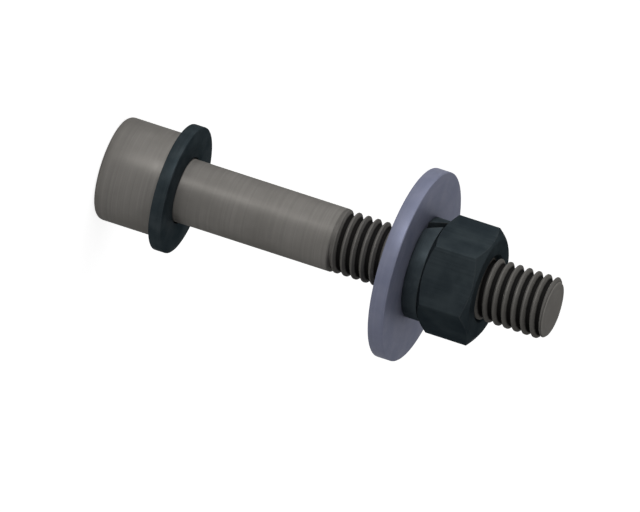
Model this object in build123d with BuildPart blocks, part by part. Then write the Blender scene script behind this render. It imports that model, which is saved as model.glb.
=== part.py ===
from build123d import *

import os
from math import cos, radians, sin, tan

# Socket head cap screw, M8 x 50, carrying two plain washers, a split lock washer and a
# hex nut. The set stands on the screw's head: the origin is the centre of the head's top
# face, +Z runs along the screw to its threaded end, and the front is -Y. Millimetres.

# Screw: a cylinder head with a hex socket, a plain shank and a threaded end
screw_diameter = 8.0  # the plain shank, and the bottom of the nut's thread grooves
screw_length = 50.0  # from under the head to the end
thread_length = 28.0
thread_play = 0.065  # the thread's crests lie this far inside the nut's grooves
end_chamfer = 0.5
under_head_radius = 0.2
head_diameter = 13.0
head_height = 8.0
head_edge_radius = 0.8
head_seat_chamfer = 0.3
socket_width = 6.0  # across the flats
socket_depth = 4.3
socket_floor_depth = 0.7  # the shallow cone that forging leaves below the flats
socket_mouth_diameter = 7.3

# Plain washers: the small one lies under the head, the large one faces it
washer_hole_play = 0.2  # between the shank and the edge of a hole
washer_edge_chamfer = 0.15
head_washer_diameter = 16.0
head_washer_thickness = 1.6
large_washer_diameter = 24.0
large_washer_thickness = 2.0
grip = 29.1  # the open length between the washers, which the clamped plates fill

# Split lock washer, pressed flat between the large washer and the nut
lock_washer_diameter = 12.7
lock_washer_thickness = 2.0
lock_washer_hole_play = 0.1
lock_washer_edge_chamfer = 0.2
slit_gap = 1.1
slit_slant = 19.0  # degrees between the slit and the screw's axis
slit_angle = 219.0  # degrees round the axis from +X

# Hex nut, its corners turned off at both ends
nut_width = 13.0  # across the flats
nut_height = 6.8
nut_face_diameter = 12.35  # the round end faces
nut_corner_slope = 30.0  # degrees between the turned corner and the end face
nut_mouth_diameter = 8.7
nut_angle = 6.5  # degrees round the axis from +X to the first corner

# Places along the screw
head_seat = head_height
screw_end = head_seat + screw_length
thread_start = screw_end - thread_length
head_washer_seat = head_seat + head_washer_thickness
large_washer_seat = head_washer_seat + grip
lock_washer_seat = large_washer_seat + large_washer_thickness
nut_seat = lock_washer_seat + lock_washer_thickness

shank_radius = screw_diameter / 2
crest_radius = shank_radius - thread_play

# The screw is built up from the head's top face
with BuildPart() as cap_screw:
    with BuildSketch(Plane.XY):
        Circle(head_diameter / 2)
    extrude(amount=head_height)
    fillet(faces().sort_by(Axis.Z)[0].edges(), head_edge_radius)
    chamfer(faces().sort_by(Axis.Z)[-1].edges(), head_seat_chamfer)

    # shank, with a small radius where it leaves the head
    with BuildSketch(Plane.XY.offset(head_seat)):
        Circle(shank_radius)
    extrude(amount=thread_start - head_seat)
    shank_side = faces(Select.LAST).filter_by(GeomType.CYLINDER)
    fillet(shank_side.edges().filter_by(GeomType.CIRCLE).sort_by(Axis.Z)[0], under_head_radius)

    # threaded end, as wide as the thread's crests
    with BuildSketch(Plane.XY.offset(thread_start)):
        Circle(crest_radius)
    extrude(amount=thread_length)
    chamfer(faces().sort_by(Axis.Z)[-1].edges(), end_chamfer)

    # hex socket, with a bevelled mouth and a shallow coned floor
    with BuildSketch(Plane.XY):
        RegularPolygon(socket_width / 2, 6, major_radius=False)
    extrude(amount=socket_depth, mode=Mode.SUBTRACT)
    with BuildSketch(Plane.XZ):
        mouth = socket_mouth_diameter / 2
        with BuildLine():
            Polyline((0, 0), (mouth, 0), (0, mouth), close=True)
        make_face()
        with BuildLine():
            Polyline(
                (0, socket_depth),
                (socket_width / 2, socket_depth),
                (0, socket_depth + socket_floor_depth),
                close=True,
            )
        make_face()
    revolve(axis=Axis.Z, mode=Mode.SUBTRACT)
cap_screw.part.label = "cap_screw"


# A plain washer has a punched hole and slightly eased rims
def plain_washer(seat, diameter, thickness):
    with BuildPart() as washer:
        with BuildSketch(Plane.XY.offset(seat)):
            Circle(diameter / 2)
            Circle(shank_radius + washer_hole_play, mode=Mode.SUBTRACT)
        extrude(amount=thickness)
        rim = faces().filter_by(GeomType.CYLINDER).sort_by(SortBy.AREA)[-1]
        chamfer(rim.edges().filter_by(GeomType.CIRCLE), washer_edge_chamfer)
    return washer.part


head_washer = plain_washer(head_seat, head_washer_diameter, head_washer_thickness)
head_washer.label = "head_washer"
large_washer = plain_washer(large_washer_seat, large_washer_diameter, large_washer_thickness)
large_washer.label = "large_washer"

# The lock washer is a ring of near square section, cut through once on a slant
with BuildPart() as lock_washer:
    with BuildSketch(Plane.XY.offset(lock_washer_seat)):
        Circle(lock_washer_diameter / 2)
        Circle(shank_radius + lock_washer_hole_play, mode=Mode.SUBTRACT)
    extrude(amount=lock_washer_thickness)
    chamfer(edges().filter_by(GeomType.CIRCLE), lock_washer_edge_chamfer)

    slit_turn = radians(slit_angle)
    slit_plane = Plane(
        origin=(0, 0, lock_washer_seat),
        x_dir=(-sin(slit_turn), cos(slit_turn), 0),
        z_dir=(cos(slit_turn), sin(slit_turn), 0),
    )
    drift = lock_washer_thickness * tan(radians(slit_slant))
    with BuildSketch(slit_plane):
        with BuildLine():
            Polyline(
                (drift / 2 - slit_gap / 2, 0),
                (drift / 2 + slit_gap / 2, 0),
                (slit_gap / 2 - drift / 2, lock_washer_thickness),
                (-slit_gap / 2 - drift / 2, lock_washer_thickness),
                close=True,
            )
        make_face()
    extrude(amount=lock_washer_diameter, mode=Mode.SUBTRACT)
lock_washer.part.label = "lock_washer"

# The nut is a hexagon whose corners a cone cuts back at each end
with BuildPart() as hex_nut:
    with BuildSketch(Plane.XY.offset(nut_seat)):
        RegularPolygon(nut_width / 2, 6, major_radius=False, rotation=nut_angle)
    extrude(amount=nut_height)
    corner_radius = nut_width / 2 / cos(radians(30))
    face_radius = nut_face_diameter / 2
    corner_drop = (corner_radius - face_radius) * tan(radians(nut_corner_slope))
    with BuildSketch(Plane.XZ):
        with BuildLine():
            Polyline(
                (0, nut_seat),
                (face_radius, nut_seat),
                (corner_radius, nut_seat + corner_drop),
                (corner_radius, nut_seat + nut_height - corner_drop),
                (face_radius, nut_seat + nut_height),
                (0, nut_seat + nut_height),
                close=True,
            )
        make_face()
    revolve(axis=Axis.Z, mode=Mode.INTERSECT)
    with Locations((0, 0, nut_seat)):
        Hole(shank_radius)
    mouths = edges().filter_by(GeomType.CIRCLE).sort_by(SortBy.RADIUS)[:2]
    chamfer(mouths, nut_mouth_diameter / 2 - shank_radius)
hex_nut.part.label = "hex_nut"

os.makedirs("parts", exist_ok=True)
export_step(cap_screw.part, "parts/cap_screw.step")
export_step(head_washer, "parts/head_washer.step")
export_step(large_washer, "parts/large_washer.step")
export_step(lock_washer.part, "parts/lock_washer.step")
export_step(hex_nut.part, "parts/hex_nut.step")
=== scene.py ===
import math

import bpy
from mathutils import Matrix, Vector


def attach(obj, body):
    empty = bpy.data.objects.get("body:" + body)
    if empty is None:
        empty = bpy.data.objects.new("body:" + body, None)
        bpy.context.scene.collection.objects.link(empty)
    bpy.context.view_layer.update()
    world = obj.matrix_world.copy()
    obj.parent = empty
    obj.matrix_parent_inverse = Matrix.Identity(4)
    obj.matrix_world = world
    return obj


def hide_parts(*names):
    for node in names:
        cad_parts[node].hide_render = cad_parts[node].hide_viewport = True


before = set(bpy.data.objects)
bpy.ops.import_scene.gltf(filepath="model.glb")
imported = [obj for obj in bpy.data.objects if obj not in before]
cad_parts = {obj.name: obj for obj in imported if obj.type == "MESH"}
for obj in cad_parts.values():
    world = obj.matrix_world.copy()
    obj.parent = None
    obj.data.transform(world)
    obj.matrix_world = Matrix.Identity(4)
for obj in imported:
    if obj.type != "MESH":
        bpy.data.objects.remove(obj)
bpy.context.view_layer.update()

mm = 0.001
mmPerMetre = 1000.0
turnSteps = 96  # facets round every turned face
overshoot = 1 * mm  # how far a cutter reaches past what it cuts


# Picking and cutting, as used on every piece below
def clearSelection():
    if bpy.context.mode != "OBJECT":
        bpy.ops.object.mode_set(mode="OBJECT")
    bpy.ops.object.select_all(action="DESELECT")


def activate(piece):
    clearSelection()
    piece.select_set(True)
    bpy.context.view_layer.objects.active = piece


def takeNew(name):  # the primitive just added gets its name, and its place goes into its mesh
    piece = bpy.context.active_object
    piece.name = name
    piece.data.name = name
    bpy.ops.object.transform_apply(location=True, rotation=True, scale=True)
    return piece


def editNothingPicked(piece, kind):
    activate(piece)
    bpy.ops.object.mode_set(mode="EDIT")
    bpy.ops.mesh.select_mode(type=kind)
    bpy.ops.mesh.select_all(action="DESELECT")
    bpy.ops.object.mode_set(mode="OBJECT")


def pickFaces(piece, wanted):  # wanted(centre, normal)
    editNothingPicked(piece, "FACE")
    for face in piece.data.polygons:
        face.select = wanted(face.center, face.normal)
    bpy.ops.object.mode_set(mode="EDIT")


def pickEdges(piece, wanted):  # wanted(one end, other end)
    editNothingPicked(piece, "EDGE")
    points = piece.data.vertices
    for edge in piece.data.edges:
        edge.select = wanted(points[edge.vertices[0]].co, points[edge.vertices[1]].co)
    bpy.ops.object.mode_set(mode="EDIT")


def reach(point):  # distance from the screw's axis
    return math.hypot(point.x, point.y)


def ringAt(radius, height, slack=0.02 * mm):  # the round edge at this radius and height
    def onRing(point):
        return abs(reach(point) - radius) < slack and abs(point.z - height) < slack

    return lambda a, b: onRing(a) and onRing(b)


def flatAt(*heights, slack=0.01 * mm, flatness=0.99):  # the faces across the axis at these heights
    def onFlat(centre, normal):
        return abs(normal.z) > flatness and min(abs(centre.z - height) for height in heights) < slack

    return onFlat


def upright(a, b, least=1 * mm):  # the edges that run along the axis
    return abs(a.z - b.z) > least


def bevelRing(piece, radius, height, width, segments):
    pickEdges(piece, ringAt(radius, height))
    bpy.ops.mesh.bevel(offset=width, segments=segments, profile=0.5, affect="EDGES")
    bpy.ops.object.mode_set(mode="OBJECT")


def addCylinder(name, radius, bottom, top, vertices=turnSteps, turn=0.0):
    clearSelection()
    bpy.ops.mesh.primitive_cylinder_add(
        vertices=vertices,
        radius=radius,
        depth=top - bottom,
        location=(0, 0, (top + bottom) / 2),
        rotation=(0, 0, turn),
    )
    return takeNew(name)


def addHexagon(name, flatRadius, bottom, top, turn=0.0):  # turn: degrees from +X to a corner
    cornerRadius = flatRadius / math.cos(math.radians(30))
    firstCorner = 90  # Blender puts it at +Y
    return addCylinder(name, cornerRadius, bottom, top, 6, math.radians(turn + firstCorner))


def addCone(name, radius, base, tip):  # the base circle lies at height base, the point at height tip
    clearSelection()
    bpy.ops.mesh.primitive_cone_add(
        vertices=turnSteps,
        radius1=radius,
        radius2=0,
        depth=abs(tip - base),
        location=(0, 0, (base + tip) / 2),
        rotation=(0 if tip > base else math.pi, 0, 0),
    )
    return takeNew(name)


def mergeClose(piece, within):  # points nearly on top of each other become one
    activate(piece)
    bpy.ops.object.mode_set(mode="EDIT")
    bpy.ops.mesh.select_all(action="SELECT")
    bpy.ops.mesh.remove_doubles(threshold=within)
    bpy.ops.object.mode_set(mode="OBJECT")


def carve(piece, cutter, operation="DIFFERENCE"):
    activate(piece)
    cut = piece.modifiers.new("cut", "BOOLEAN")
    cut.operation = operation
    cut.solver = "EXACT"
    cut.object = cutter
    bpy.ops.object.modifier_apply(modifier=cut.name)
    bpy.data.objects.remove(cutter, do_unlink=True)
    mergeClose(piece, within=0.0005 * mm)  # so that the piece stays closed, and the next cut is clean


def finishShading(piece, angle=32):
    activate(piece)
    bpy.ops.object.mode_set(mode="EDIT")
    bpy.ops.mesh.select_all(action="SELECT")
    bpy.ops.mesh.normals_make_consistent(inside=False)
    bpy.ops.object.mode_set(mode="OBJECT")
    bpy.ops.object.shade_smooth_by_angle(angle=math.radians(angle))
    clearSelection()


# Thread: one pitch of the profile, from one groove's bottom to the next, wound up the axis
thread = {
    "pitch": 1.25 * mm,
    "grooveHeight": 57.51 * mm,  # a groove's bottom passes +X here, and every pitch below
    "screwProfile": [  # radius and height of the points of half a pitch, mm
        (3.325, 0.000),
        (3.325, 0.115),
        (3.370, 0.180),
        (3.885, 0.478),
        (3.935, 0.530),
    ],
    "tapProfile": [
        (3.340, 0.000),
        (3.340, 0.125),
        (3.420, 0.175),
        (3.990, 0.505),
        (4.010, 0.560),
    ],
}


def windThread(name, halfProfile, bottom, top):
    pitch = thread["pitch"]
    rows = [(r * mm, z * mm) for r, z in halfProfile]
    rows += [(r, pitch - z) for r, z in reversed(rows)]
    turnsDown = math.ceil((thread["grooveHeight"] - bottom) / pitch) + 2  # to spare, for the cut below
    start = thread["grooveHeight"] - turnsDown * pitch
    clearSelection()
    bpy.ops.mesh.primitive_plane_add(size=0.1 * mm, location=(rows[0][0], 0, start))
    rod = takeNew(name)
    bpy.ops.object.mode_set(mode="EDIT")
    bpy.ops.mesh.select_mode(type="VERT")
    bpy.ops.mesh.select_all(action="SELECT")
    bpy.ops.mesh.merge(type="CENTER")
    for (oldRadius, oldHeight), (radius, height) in zip(rows, rows[1:]):
        step = (radius - oldRadius, 0, height - oldHeight)
        bpy.ops.mesh.extrude_vertices_move(TRANSFORM_OT_translate={"value": step})
    bpy.ops.object.mode_set(mode="OBJECT")
    wind = rod.modifiers.new("wind", "SCREW")
    wind.axis = "Z"
    wind.angle = math.tau
    wind.screw_offset = pitch
    wind.iterations = math.ceil((top - start) / pitch) + 1
    wind.steps = turnSteps
    wind.render_steps = turnSteps
    bpy.ops.object.modifier_apply(modifier=wind.name)
    mergeClose(rod, within=0.002 * mm)  # one turn's last row and the next turn's first
    return rod


def cutFlat(rod, bottom, top):  # both ends are cut square and closed
    activate(rod)
    bpy.ops.object.mode_set(mode="EDIT")
    for height, side in ((bottom, -1), (top, 1)):
        bpy.ops.mesh.select_all(action="SELECT")
        bpy.ops.mesh.bisect(
            plane_co=(0, 0, height),
            plane_no=(0, 0, side),
            use_fill=True,
            clear_outer=True,
            threshold=0.0001 * mm,
        )
    bpy.ops.mesh.select_all(action="SELECT")
    bpy.ops.mesh.normals_make_consistent(inside=False)
    bpy.ops.object.mode_set(mode="OBJECT")


# Cap screw: head, shank, thread and hex socket
screw = {
    "headRadius": 6.5 * mm,
    "headHeight": 8.0 * mm,
    "crownRound": 0.8 * mm,
    "seatBevel": 0.3 * mm,
    "shankRadius": 4.0 * mm,
    "shankTop": 29.85 * mm,
    "neckRound": 0.2 * mm,
    "rodRadius": 3.97 * mm,  # where the threaded rod enters the shank
    "rodBottom": 29.0 * mm,
    "runOut": 0.4 * mm,  # the grooves deepen over this length
    "end": 58.0 * mm,
    "endBevel": 0.5 * mm,
    "socketFlat": 3.0 * mm,  # from the axis to a flat
    "socketDepth": 4.3 * mm,
    "socketFloor": 5.0 * mm,  # the point of the drilled cone
    "socketMouth": 3.65 * mm,
    "drillRadius": 2.98 * mm,
}


def makeScrew():
    s = screw
    body = addCylinder("capScrew", s["headRadius"], 0, s["headHeight"])
    bevelRing(body, s["headRadius"], 0, s["crownRound"], segments=8)
    bevelRing(body, s["headRadius"], s["headHeight"], s["seatBevel"], segments=2)

    # the shank is drawn up out of the head's seat
    pickFaces(body, flatAt(s["headHeight"]))
    seatRadius = s["headRadius"] - s["seatBevel"]
    bpy.ops.mesh.inset(thickness=seatRadius - s["shankRadius"])
    lift = (0, 0, s["shankTop"] - s["headHeight"])
    bpy.ops.mesh.extrude_region_move(TRANSFORM_OT_translate={"value": lift})
    bpy.ops.object.mode_set(mode="OBJECT")
    bevelRing(body, s["shankRadius"], s["headHeight"], s["neckRound"], segments=4)

    # hex socket: the broached hexagon, the drilled floor and the bevelled mouth
    carve(body, addHexagon("hexagon", s["socketFlat"], -overshoot, s["socketDepth"]))
    drill = addCone("drill", s["drillRadius"], s["socketDepth"], s["socketFloor"])
    pickFaces(drill, flatAt(s["socketDepth"]))
    bpy.ops.mesh.extrude_region_move(TRANSFORM_OT_translate={"value": (0, 0, -overshoot)})
    bpy.ops.object.mode_set(mode="OBJECT")
    carve(body, drill)
    carve(body, addCone("mouth", s["socketMouth"] + overshoot / 2, -overshoot / 2, s["socketMouth"]))

    # thread, its grooves fading into the shank and its end turned to a bevel
    rod = windThread("rod", thread["screwProfile"], s["rodBottom"], s["end"])
    for point in rod.data.vertices:
        along = min(max((point.co.z - s["shankTop"]) / s["runOut"], 0), 1)
        ease = along * along * (3 - 2 * along)
        radius = reach(point.co)
        wanted = s["rodRadius"] + (radius - s["rodRadius"]) * ease
        point.co.x *= wanted / radius
        point.co.y *= wanted / radius
    cutFlat(rod, s["rodBottom"], s["end"] + overshoot / 2)
    blankRadius = thread["screwProfile"][-1][0] * mm + overshoot
    blank = addCylinder("blank", blankRadius, s["rodBottom"] - overshoot, s["end"])
    bevelRing(blank, blankRadius, s["end"], s["endBevel"] + overshoot, segments=1)
    carve(rod, blank, "INTERSECT")
    carve(body, rod, "UNION")
    finishShading(body)
    return body


capScrew = makeScrew()
print("cap screw", len(capScrew.data.polygons), "faces")


# Plain rings: a disc whose two faces are inset and bridged through
def makeRing(name, inner, outer, bottom, top):
    ring = addCylinder(name, outer, bottom, top)
    pickFaces(ring, flatAt(bottom, top))
    bpy.ops.mesh.inset(thickness=outer - inner, use_individual=True)
    bpy.ops.mesh.bridge_edge_loops()
    bpy.ops.object.mode_set(mode="OBJECT")
    return ring


headWasherSizes = {
    "inner": 4.2 * mm,
    "outer": 8.0 * mm,
    "bottom": 8.0 * mm,
    "top": 9.6 * mm,
    "rimRound": 0.15 * mm,
    "holeRound": 0.08 * mm,
}
largeWasherSizes = {
    "inner": 4.2 * mm,
    "outer": 12.0 * mm,
    "bottom": 38.7 * mm,
    "top": 40.7 * mm,
    "rimRound": 0.15 * mm,
    "holeRound": 0.08 * mm,
}


def makeWasher(name, w):
    washer = makeRing(name, w["inner"], w["outer"], w["bottom"], w["top"])
    for height in (w["bottom"], w["top"]):
        bevelRing(washer, w["outer"], height, w["rimRound"], segments=3)
        bevelRing(washer, w["inner"], height, w["holeRound"], segments=2)
    finishShading(washer)
    return washer


headWasher = makeWasher("headWasher", headWasherSizes)
largeWasher = makeWasher("largeWasher", largeWasherSizes)
print("plain washers", len(headWasher.data.polygons) + len(largeWasher.data.polygons), "faces")

# Split lock washer
lockWasherSizes = {
    "inner": 4.1 * mm,
    "outer": 6.35 * mm,
    "bottom": 40.7 * mm,
    "top": 42.7 * mm,
    "edgeRound": 0.12 * mm,
    "slitGap": 1.4 * mm,  # measured round the washer
    "slitSlant": 36,  # degrees off the screw's axis
    "slitAngle": 212,  # degrees round from +X
    "sawOut": 6.0 * mm,  # from the axis to the middle of the saw that cuts the slit
    "sawWidth": 8.0 * mm,
    "sawHeight": 6.0 * mm,
}


def makeLockWasher():
    w = lockWasherSizes
    washer = makeRing("lockWasher", w["inner"], w["outer"], w["bottom"], w["top"])
    for radius in (w["inner"], w["outer"]):
        for height in (w["bottom"], w["top"]):
            bevelRing(washer, radius, height, w["edgeRound"], segments=3)

    # the saw leans, stands out from the axis and turns to where the slit is
    slant = math.radians(w["slitSlant"])
    shaped = Matrix.Diagonal((w["sawWidth"], w["slitGap"] * math.cos(slant), w["sawHeight"], 1))
    leaning = Matrix.Rotation(slant, 4, "X")
    outward = Matrix.Translation((w["sawOut"], 0, 0))
    turned = Matrix.Rotation(math.radians(w["slitAngle"]), 4, "Z")
    lifted = Matrix.Translation((0, 0, (w["bottom"] + w["top"]) / 2))
    clearSelection()
    bpy.ops.mesh.primitive_cube_add(size=1)
    bpy.context.active_object.matrix_world = lifted @ turned @ outward @ leaning @ shaped
    carve(washer, takeNew("saw"))
    finishShading(washer)
    return washer


lockWasher = makeLockWasher()
print("lock washer", len(lockWasher.data.polygons), "faces")

# Hex nut
nut = {
    "flatRadius": 6.5 * mm,
    "faceRadius": 6.175 * mm,
    "bottom": 42.7 * mm,
    "top": 49.5 * mm,
    "cornerSlope": 30,  # degrees between the turned corner and the end face
    "turn": 6.5,  # degrees from +X to a corner
    "edgeRound": 0.12 * mm,
    "mouthRadius": 4.35 * mm,
    "blankRadius": 8.0 * mm,  # of the shape that turns the corners off, wider than they are
}


def makeNut():
    n = nut
    body = addHexagon("hexNut", n["flatRadius"], n["bottom"], n["top"], n["turn"])
    pickEdges(body, upright)
    bpy.ops.mesh.bevel(offset=n["edgeRound"], segments=3, affect="EDGES")
    bpy.ops.object.mode_set(mode="OBJECT")

    # the corners are turned off with a blank that slopes down from each end face
    blank = addCylinder("blank", n["blankRadius"], n["bottom"], n["top"])
    pickFaces(blank, flatAt(n["bottom"], n["top"]))
    bpy.ops.mesh.inset(thickness=n["blankRadius"] - n["faceRadius"], use_individual=True)
    bpy.ops.object.mode_set(mode="OBJECT")
    drop = (n["blankRadius"] - n["faceRadius"]) * math.tan(math.radians(n["cornerSlope"]))
    for height, side in ((n["bottom"], 1), (n["top"], -1)):
        pickEdges(blank, ringAt(n["blankRadius"], height))
        bpy.ops.transform.translate(value=(0, 0, side * drop))
        bpy.ops.object.mode_set(mode="OBJECT")
    carve(body, blank, "INTERSECT")

    # thread, and a mouth bevelled at 45 degrees at each end
    tap = windThread("tap", thread["tapProfile"], n["bottom"] - overshoot, n["top"] + overshoot)
    cutFlat(tap, n["bottom"] - overshoot, n["top"] + overshoot)
    carve(body, tap)
    wide = n["mouthRadius"] + overshoot / 2
    for base, side in ((n["bottom"] - overshoot / 2, 1), (n["top"] + overshoot / 2, -1)):
        carve(body, addCone("mouth", wide, base, base + side * wide))
    finishShading(body, angle=25)
    return body


hexNut = makeNut()
print("hex nut", len(hexNut.data.polygons), "faces")


# Node helpers: a node with its settings, a sum, a range stretched to another, two colours mixed
def place(tree, kind, **settings):
    node = tree.nodes.new(kind)
    for name, value in settings.items():
        setattr(node, name, value)
    return node


def feed(tree, socket, value):  # a link from another socket, or a fixed value
    if isinstance(value, bpy.types.NodeSocket):
        tree.links.new(value, socket)
    else:
        socket.default_value = value


def reckon(tree, operation, *values):
    node = place(tree, "ShaderNodeMath", operation=operation)
    for socket, value in zip(node.inputs, values):
        feed(tree, socket, value)
    return node.outputs[0]


def stretch(tree, value, low, high, toLow=0.0, toHigh=1.0):
    node = place(tree, "ShaderNodeMapRange", interpolation_type="SMOOTHSTEP")
    for socket, amount in zip(node.inputs, (value, low, high, toLow, toHigh)):
        feed(tree, socket, amount)
    return node.outputs[0]


def blendColours(tree, share, first, second):
    node = place(tree, "ShaderNodeMix", data_type="RGBA")
    feed(tree, node.inputs[0], share)
    feed(tree, node.inputs[6], first)  # its colours come after its numbers and vectors
    feed(tree, node.inputs[7], second)
    return node.outputs[2]


def newGroup(name, inputs, outputs):  # inputs are given with their starting values
    group = bpy.data.node_groups.new(name, "ShaderNodeTree")
    for label, value in inputs.items():
        socket = group.interface.new_socket(label, in_out="INPUT", socket_type="NodeSocketFloat")
        socket.default_value = value
    for label in outputs:
        group.interface.new_socket(label, in_out="OUTPUT", socket_type="NodeSocketFloat")
    return group, place(group, "NodeGroupInput").outputs, place(group, "NodeGroupOutput").inputs


def useGroup(tree, group, **values):
    node = place(tree, "ShaderNodeGroup", node_tree=group)
    for label, value in values.items():
        feed(tree, node.inputs[label], value)
    return node.outputs


# What the shared patterns are built with. Each finish gives their sizes.
patterns = {
    "endFaceTilt": 0.7,  # a normal past this looks along the axis
    "noiseMiddle": 0.5,
    "lineDetail": 3.5,
    "lineRoughness": 0.65,
    "patchDetail": 1.5,
    "patchRange": (0.3, 0.7),  # of the noise, from faint marks to full ones
    "faintMarks": 0.25,
    "edgeSamples": 12,
    "edgeRange": (0.95, 0.55),  # of the occlusion, from a flat place to a full edge
    "wearDetail": 4.0,
    "wearRange": (0.38, 0.66),  # of the noise, from the least rub to all of it
    "cloudDetail": 5.0,
    "toothDetail": 2.0,
    "filmDetail": 3.0,
}


def spots(tree, size, detail):  # soft noise through the piece, its spots about size mm across
    noise = place(tree, "ShaderNodeTexNoise")
    noise.inputs["Detail"].default_value = detail
    feed(tree, noise.inputs["Scale"], reckon(tree, "DIVIDE", mmPerMetre, size))
    feed(tree, noise.inputs["Vector"], place(tree, "ShaderNodeTexCoord").outputs["Object"])
    return noise.outputs[0]


# Where a point lies round the screw's axis, in mm: its distance out, its height, and round the rim.
# EndFace is 1 on the faces that look along the axis.
def makeAxisPlace():
    group, _, out = newGroup("axisPlace", {}, ["Out", "Height", "Round", "EndFace"])
    coordinates = place(group, "ShaderNodeTexCoord").outputs
    inMillimetres = place(group, "ShaderNodeVectorMath", operation="SCALE")
    feed(group, inMillimetres.inputs["Scale"], mmPerMetre)
    feed(group, inMillimetres.inputs[0], coordinates["Object"])
    split = place(group, "ShaderNodeSeparateXYZ")
    feed(group, split.inputs[0], inMillimetres.outputs[0])
    x, y, z = split.outputs
    across = reckon(group, "ADD", reckon(group, "MULTIPLY", x, x), reckon(group, "MULTIPLY", y, y))
    radius = reckon(group, "SQRT", across)
    turn = reckon(group, "ARCTAN2", y, x)
    facing = place(group, "ShaderNodeSeparateXYZ")
    feed(group, facing.inputs[0], coordinates["Normal"])
    tilt = reckon(group, "ABSOLUTE", facing.outputs[2])
    feed(group, out["Out"], radius)
    feed(group, out["Height"], z)
    feed(group, out["Round"], reckon(group, "MULTIPLY", turn, radius))
    feed(group, out["EndFace"], reckon(group, "GREATER_THAN", tilt, patterns["endFaceTilt"]))
    return group


# Fine parallel marks that a tool leaves: they change along one direction only, and fade in patches
def makeToolMarks():
    p = patterns
    group, given, out = newGroup("toolMarks", {"Along": 0.0, "Spacing": 0.3, "Patch": 4.0}, ["Marks"])
    lines = place(group, "ShaderNodeTexNoise", noise_dimensions="1D")
    lines.inputs["Detail"].default_value = p["lineDetail"]
    lines.inputs["Roughness"].default_value = p["lineRoughness"]
    lines.inputs["Scale"].default_value = 1.0
    feed(group, lines.inputs["W"], reckon(group, "DIVIDE", given["Along"], given["Spacing"]))
    patches = spots(group, given["Patch"], p["patchDetail"])
    strength = stretch(group, patches, *p["patchRange"], p["faintMarks"], 1.0)
    centred = reckon(group, "SUBTRACT", lines.outputs[0], p["noiseMiddle"])
    feed(group, out["Marks"], reckon(group, "MULTIPLY", centred, strength))
    return group


# Rub: how far a point lies on an outward edge, broken up as handling wears it
def makeEdgeRub():
    p = patterns
    group, given, out = newGroup("edgeRub", {"Width": 0.15, "Patch": 1.2, "Least": 0.35}, ["Rub"])
    inside = place(
        group,
        "ShaderNodeAmbientOcclusion",
        inside=True,
        only_local=True,
        samples=p["edgeSamples"],
    )
    feed(group, inside.inputs["Distance"], reckon(group, "DIVIDE", given["Width"], mmPerMetre))
    edge = stretch(group, inside.outputs["AO"], *p["edgeRange"])
    patches = spots(group, given["Patch"], p["wearDetail"])
    worn = stretch(group, patches, *p["wearRange"], given["Least"], 1.0)
    feed(group, out["Rub"], reckon(group, "MULTIPLY", edge, worn))
    return group


# Skin: the cloudy tone of a finish, its fine tooth, and the film that handling leaves
def makeMetalSkin():
    p = patterns
    inputs = {"Cloud": 3.0, "Tooth": 0.12, "Film": 1.2}
    group, given, out = newGroup("metalSkin", inputs, ["Cloud", "Tooth", "Film"])
    for label, detail in (
        ("Cloud", p["cloudDetail"]),
        ("Tooth", p["toothDetail"]),
        ("Film", p["filmDetail"]),
    ):
        noise = spots(group, given[label], detail)
        feed(group, out[label], reckon(group, "SUBTRACT", noise, p["noiseMiddle"]))
    return group


axisPlace = makeAxisPlace()
toolMarks = makeToolMarks()
edgeRub = makeEdgeRub()
metalSkin = makeMetalSkin()
print("pattern groups made")


# A finish is a colour with clouds in it, tool marks across it and rubbed edges
def startFinish(name, f):
    material = bpy.data.materials.new(name)
    material.use_nodes = True
    tree = material.node_tree
    skin = tree.nodes["Principled BSDF"]
    at = useGroup(tree, axisPlace)
    along = reckon(tree, "ADD", at["Out"], at["Height"])
    if f["marksRunUp"]:  # all but those on the end faces, which are turned
        fromRound = reckon(tree, "SUBTRACT", along, at["Round"])
        along = reckon(tree, "MULTIPLY_ADD", at["EndFace"], fromRound, at["Round"])
    marks = useGroup(
        tree,
        toolMarks,
        Along=along,
        Spacing=f["markSpacing"],
        Patch=f["markPatch"],
    )["Marks"]
    rub = useGroup(
        tree,
        edgeRub,
        Width=f["rubWidth"],
        Patch=f["rubPatch"],
        Least=f["rubLeast"],
    )["Rub"]
    surface = useGroup(
        tree,
        metalSkin,
        Cloud=f["cloudSize"],
        Tooth=f["toothSize"],
        Film=f["filmSize"],
    )

    cloudShare = stretch(tree, surface["Cloud"], -f["cloudSpread"], f["cloudSpread"])
    clouded = blendColours(tree, cloudShare, (*f["colour"], 1), (*f["cloudColour"], 1))
    toned = place(tree, "ShaderNodeVectorMath", operation="SCALE")
    feed(tree, toned.inputs[0], clouded)
    feed(tree, toned.inputs["Scale"], reckon(tree, "MULTIPLY_ADD", marks, f["markTone"], 1.0))
    rubShare = reckon(tree, "MULTIPLY", rub, f["rubAmount"])
    colour = blendColours(tree, rubShare, toned.outputs[0], (*f["rubColour"], 1))

    rough = reckon(tree, "MULTIPLY_ADD", surface["Film"], f["filmRoughness"], f["roughness"])
    rough = reckon(tree, "MULTIPLY_ADD", marks, f["markRoughness"], rough)
    rough = reckon(tree, "MULTIPLY_ADD", rubShare, -f["rubPolish"], rough)

    marksHeight = reckon(tree, "MULTIPLY", marks, f["markDepth"] * mm)
    height = reckon(tree, "MULTIPLY_ADD", surface["Tooth"], f["toothDepth"] * mm, marksHeight)
    bump = place(tree, "ShaderNodeBump")
    bump.inputs["Distance"].default_value = 1.0  # the height is in metres as it is
    feed(tree, bump.inputs["Height"], height)
    feed(tree, skin.inputs["Normal"], bump.outputs[0])

    skin.inputs["Metallic"].default_value = f["metallic"]
    skin.inputs["Specular IOR Level"].default_value = f["specularLevel"]
    skin.inputs["Specular Tint"].default_value = (*f["edgeTint"], 1)
    return material, tree, skin, colour, rough


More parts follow.
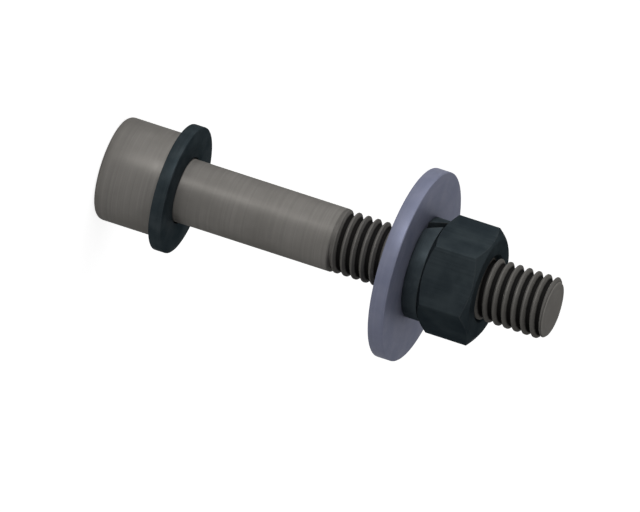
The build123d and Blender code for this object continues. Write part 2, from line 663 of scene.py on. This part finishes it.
def finishAs(name, f):
    material, tree, skin, colour, rough = startFinish(name, f)
    feed(tree, skin.inputs["Base Color"], colour)
    feed(tree, skin.inputs["Roughness"], rough)
    return material


# Satin steel of the screw, with painted shade darkening the thread's grooves and, more faintly, its
# crests. Sizes and depths in mm.
steelFinish = {
    "colour": (0.178, 0.17, 0.158),
    "cloudColour": (0.208, 0.199, 0.186),
    "cloudSize": 5.0,
    "cloudSpread": 0.2,
    "metallic": 0.33,
    "specularLevel": 0.0,
    "edgeTint": (0.45, 0.45, 0.45),
    "roughness": 0.42,
    "marksRunUp": False,
    "markSpacing": 0.5,
    "markPatch": 5.0,
    "markTone": 0.5,
    "markRoughness": 0.35,
    "markDepth": 0.004,
    "toothSize": 0.09,
    "toothDepth": 0.002,
    "filmSize": 3.5,
    "filmRoughness": 0.12,
    "rubWidth": 0.25,
    "rubPatch": 1.5,
    "rubLeast": 0.4,
    "rubColour": (0.27, 0.262, 0.25),
    "rubAmount": 0.5,
    "rubPolish": 0.08,
}
grooveShade = {
    "faintOut": 3.68,  # out from the axis, mm: only the faint painted shade beyond this
    "dark": 3.42,  # full painted shade within this
    "crestShade": 0.3,  # the painted shade's share on the crests
    "raggedSize": 0.5,
    "raggedDepth": 0.12,
    "lowest": 29.7,  # up the axis, mm
    "lowestFade": 0.1,
    "highest": 57.9,
    "highestFade": 0.05,
    "colour": (0.016, 0.0155, 0.015),
    "roughness": 0.62,
}


def makeSteel():
    g = grooveShade
    material, tree, skin, colour, rough = startFinish("satinSteel", steelFinish)
    at = useGroup(tree, axisPlace)
    ragged = useGroup(tree, metalSkin, Cloud=g["raggedSize"])["Cloud"]
    depth = reckon(tree, "MULTIPLY_ADD", ragged, g["raggedDepth"], at["Out"])
    deep = stretch(tree, depth, g["faintOut"], g["dark"], g["crestShade"], 1.0)
    above = stretch(tree, at["Height"], g["lowest"] - g["lowestFade"], g["lowest"] + g["lowestFade"])
    below = stretch(tree, at["Height"], g["highest"] + g["highestFade"], g["highest"] - g["highestFade"])
    # Painted shade: the grooves are painted dark and the crests faintly so, and that dark is made
    # rougher and less metallic
    paintedShade = reckon(tree, "MULTIPLY", deep, reckon(tree, "MULTIPLY", above, below))
    feed(tree, skin.inputs["Base Color"], blendColours(tree, paintedShade, colour, (*g["colour"], 1)))
    unshaded = reckon(tree, "SUBTRACT", 1.0, paintedShade)
    feed(tree, skin.inputs["Metallic"], reckon(tree, "MULTIPLY", unshaded, steelFinish["metallic"]))
    rougher = reckon(tree, "SUBTRACT", g["roughness"], rough)
    feed(tree, skin.inputs["Roughness"], reckon(tree, "MULTIPLY_ADD", paintedShade, rougher, rough))
    return material


# Blackened steel: the washer's and the spring's marks run round, the nut's along its flats
blackFinish = {
    "colour": (0.0265, 0.0355, 0.0405),
    "cloudColour": (0.0405, 0.051, 0.0565),
    "cloudSize": 2.2,
    "cloudSpread": 0.2,
    "metallic": 0.4,
    "specularLevel": 0.0,
    "edgeTint": (0.36, 0.36, 0.36),
    "roughness": 0.44,
    "marksRunUp": False,
    "markSpacing": 0.35,
    "markPatch": 3.0,
    "markTone": 0.7,
    "markRoughness": 0.4,
    "markDepth": 0.003,
    "toothSize": 0.12,
    "toothDepth": 0.004,
    "filmSize": 2.5,
    "filmRoughness": 0.3,
    "rubWidth": 0.2,
    "rubPatch": 0.9,
    "rubLeast": 0.2,
    "rubColour": (0.1, 0.104, 0.107),
    "rubAmount": 0.5,
    "rubPolish": 0.08,
}
# The spring's copy of the blackened steel is painted lighter: painted light that makes up for the shade
# it sits in between the large washer and the nut
springFinish = {
    **blackFinish,
    "colour": (0.038, 0.0485, 0.055),
    "cloudColour": (0.051, 0.064, 0.071),
    "cloudSize": 1.6,
    "metallic": 0.3,
    "markSpacing": 0.2,
}
nutFinish = {
    **blackFinish,
    "colour": (0.0235, 0.031, 0.036),
    "cloudColour": (0.0365, 0.0465, 0.0515),
    "cloudSize": 2.8,
    "metallic": 0.3,
    "marksRunUp": True,
    "markSpacing": 0.5,
    "markPatch": 2.5,
}

# Blue-grey zinc plating of the large washer, its film lighter in clouds
platedFinish = {
    "colour": (0.18, 0.194, 0.27),
    "cloudColour": (0.214, 0.226, 0.302),
    "cloudSize": 2.6,
    "cloudSpread": 0.2,
    "metallic": 0.36,
    "specularLevel": 0.0,
    "edgeTint": (0.75, 0.75, 0.75),
    "roughness": 0.44,
    "marksRunUp": False,
    "markSpacing": 0.6,
    "markPatch": 6.0,
    "markTone": 0.3,
    "markRoughness": 0.2,
    "markDepth": 0.002,
    "toothSize": 0.16,
    "toothDepth": 0.003,
    "filmSize": 4.0,
    "filmRoughness": 0.12,
    "rubWidth": 0.2,
    "rubPatch": 1.6,
    "rubLeast": 0.3,
    "rubColour": (0.3, 0.305, 0.35),
    "rubAmount": 0.4,
    "rubPolish": 0.06,
}

steel = makeSteel()
blackenedWasher = finishAs("blackenedWasher", blackFinish)
platedWasher = finishAs("platedWasher", platedFinish)
blackenedSpring = finishAs("blackenedSpring", springFinish)
blackenedNut = finishAs("blackenedNut", nutFinish)

for piece, material, body, slotName, node in (
    (capScrew, steel, "screw", "screw_steel", "cap_screw"),
    (headWasher, blackenedWasher, "head_washer", "blackened_washer", "head_washer"),
    (largeWasher, platedWasher, "large_washer", "plated_washer", "large_washer"),
    (lockWasher, blackenedSpring, "lock_washer", "blackened_spring", "lock_washer"),
    (hexNut, blackenedNut, "nut", "blackened_nut", "hex_nut"),
):
    piece.data.materials.clear()
    piece.data.materials.append(material)
    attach(piece, body)
    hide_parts(node)
print("finishes on, pieces on their bodies")

# Floor and world: white to the camera and to reflections, so the lamps stay low
studio = {
    "floorColour": (0.8, 0.8, 0.8),
    "floorGlow": 0.82,
    "floorWidth": 4.0,
    "floorDrop": 0.02 * mm,  # just clear of the head that stands on it
    "worldColour": (1.0, 1.0, 1.0),
    "worldLight": 0.2,
    "worldSeen": 1.0,  # as the camera and reflections see it
}


def seenDirectly(tree):  # 1 for rays from the camera, and for reflected and transmitted ones
    path = place(tree, "ShaderNodeLightPath").outputs
    cameraOrGlossy = reckon(tree, "MAXIMUM", path["Is Camera Ray"], path["Is Glossy Ray"])
    return reckon(tree, "MAXIMUM", cameraOrGlossy, path["Is Transmission Ray"])


def makeFloor():
    clearSelection()
    bpy.ops.mesh.primitive_plane_add(size=studio["floorWidth"], location=(0, 0, -studio["floorDrop"]))
    floor = takeNew("floor")
    material = bpy.data.materials.new("paleFloor")
    material.use_nodes = True
    tree = material.node_tree
    tree.nodes.clear()
    matt = place(tree, "ShaderNodeBsdfDiffuse")
    matt.inputs["Color"].default_value = (*studio["floorColour"], 1)
    glow = place(tree, "ShaderNodeEmission")
    seenGlow = reckon(tree, "MULTIPLY", seenDirectly(tree), studio["floorGlow"])
    feed(tree, glow.inputs["Strength"], seenGlow)
    both = place(tree, "ShaderNodeAddShader")
    feed(tree, both.inputs[0], matt.outputs[0])
    feed(tree, both.inputs[1], glow.outputs[0])
    feed(tree, place(tree, "ShaderNodeOutputMaterial").inputs["Surface"], both.outputs[0])
    floor.data.materials.append(material)
    return floor


def makeWorld():
    world = bpy.data.worlds.new("world")
    world.use_nodes = True
    tree = world.node_tree
    sky = tree.nodes["Background"]
    sky.inputs["Color"].default_value = (*studio["worldColour"], 1)
    mix = place(tree, "ShaderNodeMix", data_type="FLOAT")
    feed(tree, mix.inputs["Factor"], seenDirectly(tree))
    feed(tree, mix.inputs["A"], studio["worldLight"])
    feed(tree, mix.inputs["B"], studio["worldSeen"])
    feed(tree, sky.inputs["Strength"], mix.outputs[0])
    return world


floor = makeFloor()
bpy.context.scene.world = makeWorld()

# Lamps round the screw, mostly on its left. side is degrees from the front towards -X, rise is
# degrees up, the lengths are in metres and power is in watts.
target = Vector((0, 0, 29 * mm))
lamps = {
    "key": {"side": 78, "rise": 8, "away": 0.4, "wide": 0.6, "tall": 0.2, "power": 0.72},
    "glint": {"side": 29, "rise": 0, "away": 0.45, "wide": 0.12, "tall": 0.05, "power": 0.5},
    "above": {"side": 30, "rise": 82, "away": 0.45, "wide": 0.25, "tall": 0.25, "power": 0.14},
}


def addLamp(name, values):
    side = math.radians(values["side"])
    rise = math.radians(values["rise"])
    level = math.cos(rise)
    towards = Vector((-math.sin(side) * level, -math.cos(side) * level, math.sin(rise)))
    bpy.ops.object.light_add(
        type="AREA",
        location=target + towards * values["away"],
        rotation=(-towards).to_track_quat("-Z", "Y").to_euler(),
    )
    lamp = bpy.context.active_object
    lamp.name = name
    lamp.data.shape = "RECTANGLE"
    lamp.data.size = values["wide"]
    lamp.data.size_y = values["tall"]
    lamp.data.energy = values["power"]
    lamp.visible_camera = False


for name, values in lamps.items():
    addLamp(name, values)
print("floor, world and lamps set")

# Camera: straight projection from the front, a little above, rolled so that the head lies to the left
cameraView = {
    "elevation": 15.43,
    "roll": 107.97,
    "lookAt": (2.54 * mm, 0, 28.11 * mm),
    "width": 77.45 * mm,
    "away": 0.4,
    "near": 0.01,
    "far": 10.0,
}


def addCamera():
    tilted = Matrix.Rotation(math.radians(90 - cameraView["elevation"]), 4, "X")
    turned = tilted @ Matrix.Rotation(math.radians(cameraView["roll"]), 4, "Z")
    back = turned @ Vector((0, 0, 1))
    bpy.ops.object.camera_add(
        location=Vector(cameraView["lookAt"]) + back * cameraView["away"],
        rotation=turned.to_euler(),
    )
    camera = bpy.context.active_object
    camera.data.type = "ORTHO"
    camera.data.ortho_scale = cameraView["width"]
    camera.data.clip_start = cameraView["near"]
    camera.data.clip_end = cameraView["far"]
    return camera


bpy.context.scene.camera = addCamera()
bpy.context.scene.view_settings.view_transform = "Standard"
print("camera set")

print("done")
